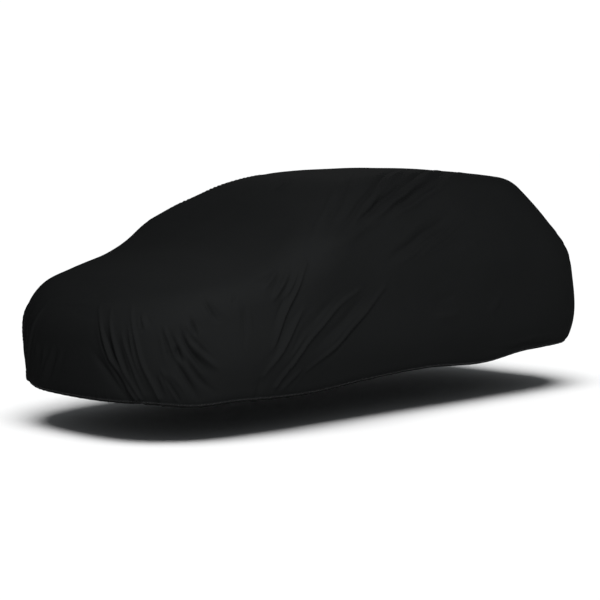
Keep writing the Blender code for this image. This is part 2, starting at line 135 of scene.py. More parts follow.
def sections(around):
    # for each place round the cover, a fan of rays from the middle line out to the body's surface
    half = np.where(around <= 0.5, around, 1.0 - around)
    side = np.where(around <= 0.5, 1.0, -1.0)
    start = curve(half, layout["around"], layout["start"])
    out = side * curve(half, layout["around"], layout["out"])
    along = curve(half, layout["around"], layout["along"]) - start
    length = np.hypot(out, along)
    out, along = (out / length)[:, None], (along / length)[:, None]
    angle = np.radians(np.linspace(body["fanLow"], body["fanHigh"], body["sectionSteps"]))
    inner = np.zeros((len(around), body["sectionSteps"]))
    outer = np.full(inner.shape, body["fanReach"])
    for _ in range(body["halvings"]):
        reach = (inner + outer) / 2
        level = reach * np.cos(angle)
        x, y = level * out, start[:, None] + level * along
        z = body["fanHeight"] + reach * np.sin(angle)
        covered = (outsideBody(x, y, z) < 0) & (z > body["floorBelow"])
        inner = np.where(covered, reach, inner)
        outer = np.where(covered, outer, reach)
    return np.stack([x, y, z], axis=-1)


def hemHeight(out, along):
    left = curve(along, hemLine["along"], hemLine["left"])
    right = curve(along, hemLine["along"], hemLine["right"])
    return right + (left - right) * np.clip(0.5 + out / body["hemBlend"], 0.0, 1.0)


def bodyGrid(around, up):
    # for each place round the cover, a row of points from the hem to the middle line
    grid = np.zeros((len(around), len(up), 3))
    for i, section in enumerate(sections(around)):
        above = section[:, 2] - hemHeight(section[:, 0], section[:, 1])
        first = max(int(np.argmax(above > 0)), 1)
        t = -above[first - 1] / (above[first] - above[first - 1])
        edge = section[first - 1] + (section[first] - section[first - 1]) * t
        line = np.vstack([edge, section[first:]])
        reach = np.concatenate([[0.0], np.cumsum(np.linalg.norm(np.diff(line, axis=0), axis=1))])
        for axis in range(3):
            grid[i, :, axis] = np.interp(up * reach[-1], reach, line[:, axis])
    return grid


# the cover: one sheet of knitted stretch cloth with its hem turned in round an elastic
cloth = {
    "leftColumns": 440, "rings": 136, "pastNose": 10,
    "slack": 0.0022, "slackSeed": 11, "slackWaves": 26, "slackShortest": 0.16, "slackLongest": 0.95,
}
# where the columns lie round the left side and the rings lie up it: closest together round the front
# corner and by the hem, wide apart round the tail and over the roof
columnPlaces = table("step around", [(0.0, 0.0), (0.07, 0.025), (0.33, 0.105), (0.88, 0.37), (1.0, 0.5)])
ringPlaces = table("step up", [(0.0, 0.0), (0.05, 0.022), (0.92, 0.87), (1.0, 1.0)])
# one bulge over each door mirror, with how far it fades forward, back, down, up and inward
mirrors = table("out along height rise tip front back down up inward", [
    (0.82, -0.80, 1.04, 0.105, 0.60, 0.18, 0.28, 0.13, 0.24, 0.19),
    (-0.82, -0.74, 1.06, 0.105, 0.60, 0.18, 0.28, 0.13, 0.24, 0.19)])
# width and rise are scales for the table of folds below. A fold's cross section is in its own widths:
# its rounded crest, how fast the flanks fall, and the shallow dip that spreads beyond them.
fold = {
    "steps": 25, "seed": 5, "width": 1.05, "rise": 1.9, "tip": 0.35, "fall": 0.72,
    "dip": 0.12, "dipWidth": 3.2, "reach": 7.0, "fade": 0.4, "lean": 0.45,
    "wobble": 0.0035, "wobbleLength": 0.31, "fullWobble": 0.5,
}
# weaker folds that run beside each fold, on either side and raised or sunk by chance
companion = {
    "count": 2, "share": 0.34, "weakest": 0.5, "strongest": 1.2, "nearest": 2.0, "farthest": 4.2,
    "slide": 0.5, "slideShare": 0.15, "splay": 0.6, "cut": 2, "width": 0.9, "finish": 0.1, "lean": 0.6,
}
# each fold runs through three places on the cover, given as the share of the way round from the
# middle of the nose over the left side, and the share of the way up from the hem to the middle line.
# rise below 0 is a trough, and start and finish are how much of the rise is left at the two ends.
folds = table("aroundA upA aroundB upB aroundC upC width rise start finish", [
    # gathers down the nose, left of the middle
    (0.027, 0.394, 0.042, 0.196, 0.062, 0.020, 0.013, 0.010, 0.2, 1.0),
    (0.039, 0.382, 0.049, 0.193, 0.066, 0.020, 0.012, 0.009, 0.2, 1.0),
    (0.051, 0.316, 0.058, 0.178, 0.069, 0.040, 0.011, 0.007, 0.0, 0.7),
    (0.057, 0.388, 0.066, 0.198, 0.080, 0.030, 0.013, 0.010, 0.2, 1.0),
    (0.065, 0.361, 0.068, 0.322, 0.071, 0.283, 0.012, 0.005, 0.0, 0.0),
    (0.081, 0.156, 0.086, 0.097, 0.094, 0.030, 0.013, 0.007, 0.0, 0.7),
    (0.024, 0.228, 0.040, 0.125, 0.054, 0.034, 0.020, -0.007, 0.0, 0.6),
    (0.046, 0.150, 0.052, 0.100, 0.060, 0.050, 0.014, -0.005, 0.0, 0.3),
    # right of the middle of the nose
    (-0.012, 0.239, -0.021, 0.144, -0.032, 0.050, 0.018, 0.005, 0.0, 0.5),
    (-0.025, 0.228, -0.028, 0.139, -0.036, 0.056, 0.018, 0.005, 0.0, 0.5),
    (-0.035, 0.211, -0.037, 0.178, -0.040, 0.150, 0.018, 0.004, 0.0, 0.0),
    (-0.002, 0.230, -0.010, 0.150, -0.019, 0.060, 0.016, 0.003, 0.0, 0.4),
    # headlamp corner
    (0.086, 0.310, 0.093, 0.231, 0.101, 0.160, 0.013, -0.015, 0.0, 0.0),
    (0.083, 0.317, 0.089, 0.238, 0.096, 0.152, 0.012, 0.011, 0.0, 0.0),
    (0.096, 0.296, 0.105, 0.217, 0.118, 0.131, 0.012, -0.014, 0.2, 0.0),
    (0.101, 0.303, 0.111, 0.238, 0.127, 0.167, 0.012, -0.011, 0.0, 0.0),
    (0.104, 0.332, 0.108, 0.296, 0.111, 0.260, 0.011, -0.012, 0.2, 0.0),
    (0.116, 0.410, 0.122, 0.353, 0.130, 0.296, 0.012, -0.012, 0.3, 0.0),
    (0.099, 0.210, 0.110, 0.131, 0.126, 0.059, 0.013, -0.011, 0.0, 0.2),
    (0.090, 0.210, 0.100, 0.124, 0.112, 0.038, 0.014, -0.012, 0.0, 0.3),
    (0.105, 0.253, 0.117, 0.188, 0.133, 0.131, 0.013, 0.011, 0.0, 0.0),
    (0.081, 0.138, 0.088, 0.088, 0.096, 0.031, 0.012, -0.009, 0.0, 0.8),
    (0.086, 0.311, 0.092, 0.244, 0.094, 0.217, 0.014, 0.009, 0.0, 0.0),
    (0.146, 0.417, 0.144, 0.383, 0.143, 0.350, 0.010, -0.005, 0.0, 0.0),
    (0.153, 0.367, 0.153, 0.289, 0.154, 0.200, 0.010, -0.007, 0.0, 0.0),
    # fan below the near mirror
    (0.212, 0.463, 0.193, 0.341, 0.179, 0.192, 0.013, 0.014, 0.6, 0.2),
    (0.198, 0.464, 0.187, 0.409, 0.176, 0.354, 0.011, 0.011, 0.3, 0.0),
    (0.204, 0.457, 0.197, 0.409, 0.188, 0.354, 0.011, 0.011, 0.3, 0.0),
    (0.202, 0.457, 0.192, 0.409, 0.183, 0.354, 0.010, -0.004, 0.2, 0.0),
    (0.207, 0.457, 0.199, 0.402, 0.191, 0.347, 0.010, -0.004, 0.2, 0.0),
    (0.191, 0.471, 0.180, 0.436, 0.169, 0.395, 0.011, 0.009, 0.2, 0.0),
    (0.184, 0.471, 0.174, 0.457, 0.166, 0.436, 0.010, -0.005, 0.0, 0.0),
    (0.210, 0.347, 0.192, 0.224, 0.172, 0.098, 0.014, 0.013, 0.0, 0.3),
    (0.171, 0.106, 0.169, 0.061, 0.168, 0.017, 0.018, -0.005, 0.0, 1.0),
    # long ridges from the door down to the front wheel, and the troughs beside them
    (0.257, 0.335, 0.216, 0.224, 0.185, 0.052, 0.012, 0.015, 0.3, 0.6),
    (0.282, 0.318, 0.250, 0.203, 0.213, 0.099, 0.011, 0.013, 0.3, 0.3),
    (0.271, 0.327, 0.242, 0.237, 0.210, 0.151, 0.022, -0.004, 0.0, 0.1),
    (0.246, 0.363, 0.219, 0.269, 0.192, 0.160, 0.024, -0.003, 0.0, 0.1),
    (0.211, 0.122, 0.201, 0.083, 0.193, 0.044, 0.015, 0.008, 0.0, 0.6),
    # from the mirror up to the roof
    (0.222, 0.520, 0.258, 0.651, 0.301, 0.814, 0.013, 0.009, 0.2, 0.0),
    (0.227, 0.510, 0.268, 0.648, 0.311, 0.816, 0.012, -0.009, 0.0, 0.0),
    (0.236, 0.500, 0.293, 0.652, 0.361, 0.879, 0.012, -0.012, 0.0, 0.0),
    (0.244, 0.500, 0.304, 0.650, 0.372, 0.885, 0.013, 0.010, 0.0, 0.0),
    (0.250, 0.515, 0.318, 0.654, 0.397, 0.881, 0.012, -0.014, 0.0, 0.0),
    (0.258, 0.508, 0.330, 0.653, 0.402, 0.880, 0.014, 0.012, 0.0, 0.0),
    (0.268, 0.508, 0.338, 0.651, 0.404, 0.856, 0.012, -0.012, 0.0, 0.0),
    (0.280, 0.505, 0.349, 0.644, 0.418, 0.840, 0.020, 0.010, 0.0, 0.0),
    (0.224, 0.478, 0.276, 0.526, 0.347, 0.643, 0.040, 0.010, 0.3, 0.2),
    # from the door up to the rear window
    (0.278, 0.385, 0.318, 0.464, 0.356, 0.560, 0.020, -0.012, 0.0, 0.2),
    (0.286, 0.368, 0.326, 0.450, 0.364, 0.550, 0.012, 0.011, 0.0, 0.1),
    (0.300, 0.372, 0.336, 0.450, 0.370, 0.548, 0.011, 0.008, 0.0, 0.1),
    (0.346, 0.400, 0.358, 0.428, 0.372, 0.433, 0.020, 0.005, 0.0, 0.0),
    (0.253, 0.939, 0.268, 0.944, 0.286, 0.967, 0.017, 0.007, 0.0, 0.3),
    # rear door and the arch over the rear wheel
    (0.379, 0.250, 0.374, 0.217, 0.367, 0.183, 0.026, 0.005, 0.0, 0.0),
    (0.318, 0.183, 0.333, 0.189, 0.347, 0.200, 0.034, 0.005, 0.0, 0.0),
    (0.376, 0.051, 0.405, 0.023, 0.433, 0.031, 0.014, -0.010, 0.3, 0.5),
    # front edge of the bonnet
    (-0.024, 0.394, 0.018, 0.417, 0.064, 0.372, 0.026, 0.005, 0.0, 0.0),
    # right side
    (0.965, 0.390, 0.953, 0.200, 0.940, 0.025, 0.013, 0.009, 0.2, 1.0),
    (0.945, 0.380, 0.935, 0.190, 0.921, 0.025, 0.014, -0.008, 0.2, 1.0),
    (0.925, 0.360, 0.913, 0.200, 0.900, 0.030, 0.013, 0.008, 0.1, 0.8),
    (0.905, 0.330, 0.888, 0.210, 0.872, 0.060, 0.020, -0.010, 0.2, 0.4),
    (0.885, 0.400, 0.873, 0.330, 0.858, 0.260, 0.016, -0.009, 0.3, 0.0),
    (0.795, 0.460, 0.812, 0.330, 0.832, 0.170, 0.020, 0.013, 0.5, 0.2),
    (0.800, 0.440, 0.812, 0.380, 0.825, 0.320, 0.020, -0.010, 0.3, 0.0),
    (0.752, 0.360, 0.786, 0.220, 0.822, 0.040, 0.022, 0.015, 0.2, 0.6),
    (0.735, 0.340, 0.762, 0.220, 0.795, 0.100, 0.028, -0.011, 0.2, 0.2),
    (0.722, 0.310, 0.748, 0.190, 0.785, 0.080, 0.022, 0.012, 0.2, 0.3),
    (0.765, 0.560, 0.735, 0.650, 0.700, 0.760, 0.022, 0.011, 0.2, 0.3),
    (0.750, 0.530, 0.705, 0.620, 0.662, 0.720, 0.024, -0.014, 0.2, 0.5),
    (0.738, 0.440, 0.684, 0.540, 0.628, 0.690, 0.038, 0.016, 0.2, 0.5),
    (0.715, 0.400, 0.680, 0.450, 0.645, 0.550, 0.034, -0.011, 0.0, 0.0),
    (0.640, 0.260, 0.615, 0.160, 0.590, 0.040, 0.030, 0.008, 0.0, 0.6),
    # tail
    (0.455, 0.500, 0.462, 0.280, 0.470, 0.030, 0.024, 0.008, 0.2, 0.8),
    (0.485, 0.450, 0.488, 0.250, 0.490, 0.020, 0.026, -0.006, 0.0, 0.8),
    (0.520, 0.480, 0.514, 0.260, 0.508, 0.020, 0.024, 0.006, 0.0, 0.8),
    (0.545, 0.520, 0.537, 0.300, 0.530, 0.030, 0.028, -0.008, 0.2, 0.8),
    (0.430, 0.600, 0.440, 0.420, 0.447, 0.250, 0.026, 0.008, 0.3, 0.0),
    (0.572, 0.580, 0.562, 0.420, 0.553, 0.220, 0.026, 0.009, 0.3, 0.0),
])


def clothPlaces():
    column = np.arange(cloth["leftColumns"] + 1) / cloth["leftColumns"]
    ring = np.arange(cloth["rings"] + 1) / cloth["rings"]
    return (np.interp(column, columnPlaces["step"], columnPlaces["around"]),
            np.interp(ring, ringPlaces["step"], ringPlaces["up"]))


def sheetIds(columns, rings):
    # the number of the point at each column and ring: the right side has every second column, and both
    # sides share the nose column, the tail column and the middle line
    half = columns // 2
    middle = (columns + half) * rings
    left = np.arange(columns + 1)[:, None] * rings + np.arange(rings + 1)
    left[:, -1] = middle + np.arange(columns + 1)
    right = (columns + np.arange(half + 1))[:, None] * rings + np.arange(rings + 1)
    right[:, -1] = middle + 2 * np.arange(half + 1)
    right[0], right[-1] = left[0], left[-1]
    return left, right


def sheetPoints(leftGrid, rightGrid):
    # all the points in the order of their numbers, with the middle line set exactly on the middle
    middle = leftGrid[:, -1] * np.array([0.0, 1.0, 1.0])
    return np.vstack([leftGrid[:, :-1].reshape(-1, 3), rightGrid[1:-1, :-1].reshape(-1, 3), middle])


def quads(grid):
    # what the four corners of each cell of a grid hold
    corners = [grid[:-1, :-1], grid[1:, :-1], grid[1:, 1:], grid[:-1, 1:]]
    return np.stack(corners, axis=2).reshape(-1, 4, *grid.shape[2:])


def sheetFaces(left, right):
    # along the middle line each right face takes in the point between its two columns
    four = np.vstack([quads(left), quads(right[:, :-1])[:, ::-1]])
    top = [right[1:, -2], right[:-1, -2], right[:-1, -1], left[1::2, -1], right[1:, -1]]
    return four, np.stack(top, axis=1)


def sheetNormals(points, four, top):
    # each point's mean direction out, larger faces counting more
    corners = np.vstack([four, top[:, [0, 1, 2, 4]]])
    at = points[corners]
    across = np.cross(at[:, 2] - at[:, 0], at[:, 3] - at[:, 1])
    normals = np.zeros_like(points)
    for corner in range(4):
        for axis in range(3):
            normals[:, axis] += np.bincount(corners[:, corner], across[:, axis], len(points))
    return normals / np.maximum(np.linalg.norm(normals, axis=1), 1e-12)[:, None]


def mirrorRise(points, row):
    # how far one door mirror lifts each point of the cloth
    offset = points - np.array([mirrors["out"][row], mirrors["along"][row], mirrors["height"][row]])
    along = offset[:, 1] / np.where(offset[:, 1] < 0, mirrors["front"][row], mirrors["back"][row])
    height = offset[:, 2] / np.where(offset[:, 2] < 0, mirrors["down"][row], mirrors["up"][row])
    away = along ** 2 + height ** 2 + (offset[:, 0] / mirrors["inward"][row]) ** 2
    tip = mirrors["tip"][row]
    return mirrors["rise"][row] * np.exp(tip - np.sqrt(away + tip ** 2))


def placeOn(grid, arounds, ups, around, up):
    # the point of a grid at any place round it and up it
    column = np.clip(np.searchsorted(arounds, around, side="right") - 1, 0, len(arounds) - 2)
    row = np.clip(np.searchsorted(ups, up, side="right") - 1, 0, len(ups) - 2)
    s = ((around - arounds[column]) / (arounds[column + 1] - arounds[column]))[:, None]
    t = ((up - ups[row]) / (ups[row + 1] - ups[row]))[:, None]
    low = grid[column, row] * (1 - s) + grid[column + 1, row] * s
    high = grid[column, row + 1] * (1 - s) + grid[column + 1, row + 1] * s
    return low * (1 - t) + high * t


def addFold(rise, points, normals, path, width, height, start, finish, lean):
    # a ridge (or trough) along the path, steeper on one flank and fading at its ends
    reach = fold["reach"] * width
    inside = (points > path.min(0) - reach) & (points < path.max(0) + reach)
    near = np.flatnonzero(np.all(inside, axis=1))
    if not len(near):
        return
    at, facing = points[near], normals[near]
    nearest = np.full(len(near), np.inf)
    along = np.zeros(len(near))
    side = np.zeros(len(near))
    for i in range(len(path) - 1):
        step = path[i + 1] - path[i]
        part = np.clip((at - path[i]) @ step / (step @ step), 0.0, 1.0)
        offset = at - path[i] - part[:, None] * step
        distance = np.linalg.norm(offset, axis=1)
        closer = distance < nearest
        nearest = np.where(closer, distance, nearest)
        along = np.where(closer, (i + part) / (len(path) - 1), along)
        side = np.where(closer, np.einsum("ij,ij->i", np.cross(facing, step), offset), side)
    fade = start + (1 - start) * softStep(along / fold["fade"])
    fade = fade * (finish + (1 - finish) * softStep((1 - along) / fold["fade"]))
    flank = width * np.where(side > 0, 1.0 + lean, 1.0 - lean)
    tip = fold["tip"] * width
    crest = np.exp(-(np.sqrt(nearest ** 2 + tip ** 2) - tip) / (fold["fall"] * flank))
    dip = fold["dip"] * np.exp(-(nearest / (fold["dipWidth"] * width)) ** 2)
    rise[near] += height * fade * (crest - dip) * np.clip((reach - nearest) / width, 0.0, 1.0)


def through(step, first, middle, last):
    # a curve that runs through three values, at steps 0, 0.5 and 1
    return (2 * (step - 0.5) * (step - 1) * first + 4 * step * (1 - step) * middle
            + 2 * step * (step - 0.5) * last)


def addCompanions(rise, points, normals, path, run, across, width, height, draw):
    step = np.linspace(0.0, 1.0, len(path))
    for _ in range(companion["count"]):
        aside = draw.choice([-1.0, 1.0]) * draw.uniform(companion["nearest"], companion["farthest"])
        slide = draw.uniform(-companion["slide"], companion["slide"])
        share = companion["share"] * draw.uniform(companion["weakest"], companion["strongest"])
        share = share * draw.choice([-1.0, 1.0])
        spread = aside * width * companion["splay"] * (1 + step)
        beside = path + across * spread[:, None] + run * slide * companion["slideShare"]
        beside = beside[companion["cut"]:-companion["cut"]]
        addFold(rise, points, normals, beside, companion["width"] * width, share * height,
                0.0, companion["finish"], slide * companion["lean"])


def addFolds(rise, points, normals, grid, arounds, ups):
    draw = np.random.default_rng(fold["seed"])
    step = np.linspace(0.0, 1.0, fold["steps"])
    for row in range(len(folds["width"])):
        around = through(step, *[folds[name][row] for name in ("aroundA", "aroundB", "aroundC")])
        up = through(step, *[folds[name][row] for name in ("upA", "upB", "upC")])
        # a fold right of the middle of the nose stays in the part of the grid that runs past it
        path = placeOn(grid, arounds, ups, around % 1.0 if folds["aroundB"][row] > 0 else around, up)
        width, height = folds["width"][row] * fold["width"], folds["rise"][row] * fold["rise"]
        length = np.linalg.norm(np.diff(path, axis=0), axis=1).sum()
        run = path[-1] - path[0]
        facing = normals[np.argmin(np.linalg.norm(points - path[len(path) // 2], axis=1))]
        across = np.cross(facing, run / length)
        wave = np.sin(2 * math.pi * (length / fold["wobbleLength"] * step + draw.uniform()))
        wave = fold["wobble"] * min(length / fold["fullWobble"], 1.0) * wave
        path = path + across * wave[:, None]
        addFold(rise, points, normals, path, width, height, folds["start"][row], folds["finish"][row],
                draw.uniform(-fold["lean"], fold["lean"]))
        addCompanions(rise, points, normals, path, run, across, width, height, draw)


def slackRise(points):
    # shallow uneven waves, where stretch cloth is not quite tight
    draw = np.random.default_rng(cloth["slackSeed"])
    rise = np.zeros(len(points))
    for _ in range(cloth["slackWaves"]):
        direction = draw.normal(size=3)
        direction = direction / np.linalg.norm(direction)
        length = draw.uniform(cloth["slackShortest"], cloth["slackLongest"])
        wave = np.sin(points @ direction * (2 * math.pi / length) + draw.uniform(0, 2 * math.pi))
        rise += wave * cloth["slack"] * length * draw.uniform(0.8, 2.0)
    return rise / math.sqrt(cloth["slackWaves"] / 2)


def metresUp(grid):
    # metres along each column from its first ring, and in the next function along each ring
    steps = np.linalg.norm(np.diff(grid, axis=1), axis=2)
    return np.concatenate([np.zeros((len(grid), 1)), np.cumsum(steps, axis=1)], axis=1)


def metresRound(grid):
    steps = np.linalg.norm(np.diff(grid, axis=0), axis=2)
    return np.concatenate([np.zeros((1, grid.shape[1])), np.cumsum(steps, axis=0)], axis=0)


# the hem's last few centimetres: the elastic draws the edge in, gathers it, and sits in a low tunnel
# with a groove along its seam. The gathers are weaker along the sills than round the nose and tail.
hem = {
    "pull": 0.020, "reach": 0.070, "tunnelWidth": 0.024, "tunnelRise": 0.0030, "tunnelShape": 0.8,
    "grooveDepth": 0.0016, "grooveWidth": 0.0045, "turned": 0.0022,
    "gatherRise": 0.0015, "gatherReach": 0.075, "gatherFade": 1.4, "gatherLength": 0.070,
    "unevenReach": 0.5, "unevenRate": 0.31,
    "sillGather": 0.45, "sillMiddle": -0.05, "sillHalf": 1.1, "sillFade": 0.7,
}
gathers = table("share rate swing swingRate", [(1.0, 1.0, 1.8, 0.137), (0.6, 1.71, 1.3, 0.219)])
# the turned-in cloth from its raw edge down to the roll, in units of hem["turned"]
turnedEdge = table("up inward", [
    (10.0, 2.3), (5.0, 2.3), (0.4545, 2.0), (-0.75, 1.75), (-1.0, 1.0), (-0.75, 0.3)])


def hemRise(up, across, ends, draw):
    pull = -hem["pull"] * np.clip(1.0 - up / hem["reach"], 0.0, 1.0) ** 2
    roll = np.sin(math.pi * np.clip(up / hem["tunnelWidth"], 0.0, 1.0))
    roll = hem["tunnelRise"] * roll ** hem["tunnelShape"]
    groove = -hem["grooveDepth"] * np.exp(-((up - hem["tunnelWidth"]) / hem["grooveWidth"]) ** 2)
    phase = draw.uniform(0, 2 * math.pi, 4)
    turn = 2 * math.pi * across / hem["gatherLength"]
    gather = np.zeros_like(turn)
    for row, share in enumerate(gathers["share"]):
        swing = gathers["swing"][row] * np.sin(turn * gathers["swingRate"][row] + phase[2 * row])
        gather = gather + share * np.sin(turn * gathers["rate"][row] + swing + phase[2 * row + 1])
    reach = hem["gatherReach"] * (1 + hem["unevenReach"] * np.sin(turn * hem["unevenRate"]))
    fade = np.clip(1.0 - up / reach, 0.0, 1.0) ** hem["gatherFade"]
    return pull + roll + groove + hem["gatherRise"] * ends * gather * fade


def turnHem(grid, normals):
    # the hem's edge rolls under and the cloth runs back up inside the tunnel
    up = grid[:, 3] - grid[:, 0]
    up = up / np.linalg.norm(up, axis=1)[:, None] * hem["turned"]
    inward = -normals[:, 0] * hem["turned"]
    steps = zip(turnedEdge["up"], turnedEdge["inward"])
    return np.stack([grid[:, 0] + up * rise + inward * depth for rise, depth in steps], axis=1)


def foldedSheet():
    # the sheet over the body with its mirrors, folds and slack, as points and two grids of numbers
    arounds, ups = clothPlaces()
    leftBase = bodyGrid(arounds, ups)
    rightBase = bodyGrid(1.0 - arounds[::2], ups)
    left, right = sheetIds(len(arounds) - 1, len(ups) - 1)
    points = sheetPoints(leftBase, rightBase)
    normals = sheetNormals(points, *sheetFaces(left, right))
    rise = slackRise(points)
    for row in range(len(mirrors["out"])):
        rise += mirrorRise(points, row)
    # one grid all the way round, and a little past the middle of the nose, to read the folds' places on
    past = cloth["pastNose"]
    ring = np.concatenate([rightBase[past:0:-1], leftBase, rightBase[-2:0:-1]])
    places = np.concatenate([-arounds[2 * past:0:-2], arounds, 1.0 - arounds[-3:0:-2]])
    addFolds(rise, points, normals, ring, places, ups)
    points = points + normals * rise[:, None]
    return points, sheetNormals(points, *sheetFaces(left, right)), left, right


def hemmedGrids():
    # the left and the right side as grids of points, with the hem gathered and turned in
    points, normals, left, right = foldedSheet()
    draw = np.random.default_rng(cloth["slackSeed"] + 1)
    sides = []
    for ids in (left, right):
        grid, facing = points[ids], normals[ids]
        up, across = metresUp(grid), metresRound(grid)[:, :1]
        ends = softStep((np.abs(grid[:, :1, 1] - hem["sillMiddle"]) - hem["sillHalf"]) / hem["sillFade"])
        ends = hem["sillGather"] + (1 - hem["sillGather"]) * ends
        grid = grid + facing * hemRise(up, across, ends, draw)[..., None]
        sides.append((grid, facing))
    # both sides take the left side's points where they meet
    (leftGrid, leftFacing), (rightGrid, rightFacing) = sides
    rightGrid[0], rightGrid[-1] = leftGrid[0], leftGrid[-1]
    return (np.concatenate([turnHem(leftGrid, leftFacing), leftGrid], axis=1),
            np.concatenate([turnHem(rightGrid, rightFacing), rightGrid], axis=1))


def flatPlaces(leftGrid, rightGrid):
    # the cloth's own flat coordinates, in metres round and up, one pair for each corner of each face
    left = np.stack([metresRound(leftGrid), metresUp(leftGrid)], axis=-1)
    right = np.stack([-metresRound(rightGrid), metresUp(rightGrid)], axis=-1)
    four = np.vstack([quads(left), quads(right[:, :-1])[:, ::-1]])
    between = (right[1:, -1] + right[:-1, -1]) / 2
    top = np.stack([right[1:, -2], right[:-1, -2], right[:-1, -1], between, right[1:, -1]], axis=1)
    return np.vstack([four.reshape(-1, 2), top.reshape(-1, 2)])


def toFrame(points):
    # from metres over the ground to the frame the meshes are made in
    return points - np.array([0.0, place["roofAlong"], place["groundBelow"]])


def makeMesh(name, points, four, top, flat):
    mesh = bpy.data.meshes.new(name)
    mesh.vertices.add(len(points))
    mesh.vertices.foreach_set("co", points.astype(np.float32).ravel())
    corners = np.concatenate([four.ravel(), top.ravel()])
    mesh.loops.add(len(corners))
    mesh.loops.foreach_set("vertex_index", corners.astype(np.int32))
    starts = np.concatenate([np.arange(len(four)) * 4, len(four) * 4 + np.arange(len(top)) * 5])
    mesh.polygons.add(len(starts))
    mesh.polygons.foreach_set("loop_start", starts.astype(np.int32))
    mesh.update(calc_edges=True)
    mesh.validate()
    mesh.shade_smooth()
    layer = mesh.uv_layers.new(name="cloth")
    layer.uv.foreach_set("vector", flat.astype(np.float32).ravel())
    thing = bpy.data.objects.new(name, mesh)
    bpy.context.scene.collection.objects.link(thing)
    return thing


print("cover: shaping the cloth")
leftSide, rightSide = hemmedGrids()
fourCorners, fiveCorners = sheetFaces(*sheetIds(leftSide.shape[0] - 1, leftSide.shape[1] - 1))
cover = makeMesh("cover_cloth_sheet", toFrame(sheetPoints(leftSide, rightSide)),
                 fourCorners, fiveCorners, flatPlaces(leftSide, rightSide))
print("cover:", len(fourCorners) * 2 + len(fiveCorners) * 3, "triangles")


# hem stitches: two rows of thread at two heights over the edge, set along the hem by a node tree
stitches = {
    "rows": (0.0215, 0.0175), "length": 0.0062, "gap": 0.0030, "thread": 0.0011, "sides": 5,
    "jitter": 0.10, "seed": 4, "sink": 0.0002, "ringsAbove": 8,
}


def hemRow(height):
    # the line on the outside of the hem at a height over its edge, all the way round
    first = len(turnedEdge["up"])
    outside = np.concatenate([leftSide, rightSide[-2:0:-1]])[:, first:first + stitches["ringsAbove"]]
    up = metresUp(outside)
    return np.array([[np.interp(height, up[i], outside[i, :, axis]) for axis in range(3)]
                     for i in range(len(outside))])


def hemFacing(line):
    # the level direction out from the hem
    along = np.roll(line, -1, axis=0) - np.roll(line, 1, axis=0)
    facing = np.cross(along, [0.0, 0.0, 1.0])
    return facing / np.linalg.norm(facing, axis=1)[:, None]


def stitchTree(material):
    # a closed line of edges in, short cylinders along it out, each tilted a little by chance
    tree = bpy.data.node_groups.new("stitchRow", "GeometryNodeTree")
    face = tree.interface
    face.new_socket("Geometry", in_out="INPUT", socket_type="NodeSocketGeometry")
    for name in ("Stitch Length", "Gap", "Thread", "Jitter"):
        face.new_socket(name, in_out="INPUT", socket_type="NodeSocketFloat")
    face.new_socket("Sides", in_out="INPUT", socket_type="NodeSocketInt")
    face.new_socket("Seed", in_out="INPUT", socket_type="NodeSocketInt")
    face.new_socket("Geometry", in_out="OUTPUT", socket_type="NodeSocketGeometry")

    def add(kind, **settings):
        node = tree.nodes.new(kind)
        for key, value in settings.items():
            setattr(node, key, value)
        return node

    def link(source, output, target, slot):
        tree.links.new(source.outputs[output], target.inputs[slot])

    start, finish = add("NodeGroupInput"), add("NodeGroupOutput")
    line = add("GeometryNodeMeshToCurve")
    pitch = add("ShaderNodeMath", operation="ADD")
    spaced = add("GeometryNodeResampleCurve", mode="LENGTH")
    thread = add("GeometryNodeMeshCylinder", fill_type="TRIANGLE_FAN")
    thread.inputs["Side Segments"].default_value = 1
    thread.inputs["Fill Segments"].default_value = 1
    half = add("ShaderNodeMath", operation="MULTIPLY")
    half.inputs[1].default_value = 0.5
    tangent = add("GeometryNodeInputTangent")
    turn = add("FunctionNodeAlignRotationToVector", axis="Z")
    noise = add("FunctionNodeRandomValue", data_type="FLOAT_VECTOR")
    down = add("ShaderNodeMath", operation="MULTIPLY")
    down.inputs[1].default_value = -1.0
    tilt = add("FunctionNodeRotateRotation", rotation_space="LOCAL")
    placed = add("GeometryNodeInstanceOnPoints")
    real = add("GeometryNodeRealizeInstances")
    coloured = add("GeometryNodeSetMaterial")
    coloured.inputs["Material"].default_value = material
    smooth = add("GeometryNodeSetShadeSmooth")
    link(start, "Geometry", line, "Mesh")
    link(start, "Stitch Length", pitch, 0)
    link(start, "Gap", pitch, 1)
    link(line, "Curve", spaced, "Curve")
    link(pitch, "Value", spaced, "Length")
    link(start, "Sides", thread, "Vertices")
    link(start, "Thread", half, 0)
    link(half, "Value", thread, "Radius")
    link(start, "Stitch Length", thread, "Depth")
    link(tangent, "Tangent", turn, "Vector")
    link(start, "Jitter", noise, "Max")
    link(start, "Jitter", down, 0)
    link(down, "Value", noise, "Min")
    link(start, "Seed", noise, "Seed")
    link(turn, "Rotation", tilt, "Rotation")
    link(noise, "Value", tilt, "Rotate By")
    link(spaced, "Curve", placed, "Points")
    link(thread, "Mesh", placed, "Instance")
    link(tilt, "Rotation", placed, "Rotation")
    link(placed, "Instances", smooth, "Geometry")
    link(smooth, "Geometry", real, "Geometry")
    link(real, "Geometry", coloured, "Geometry")
    link(coloured, "Geometry", finish, "Geometry")
    return tree


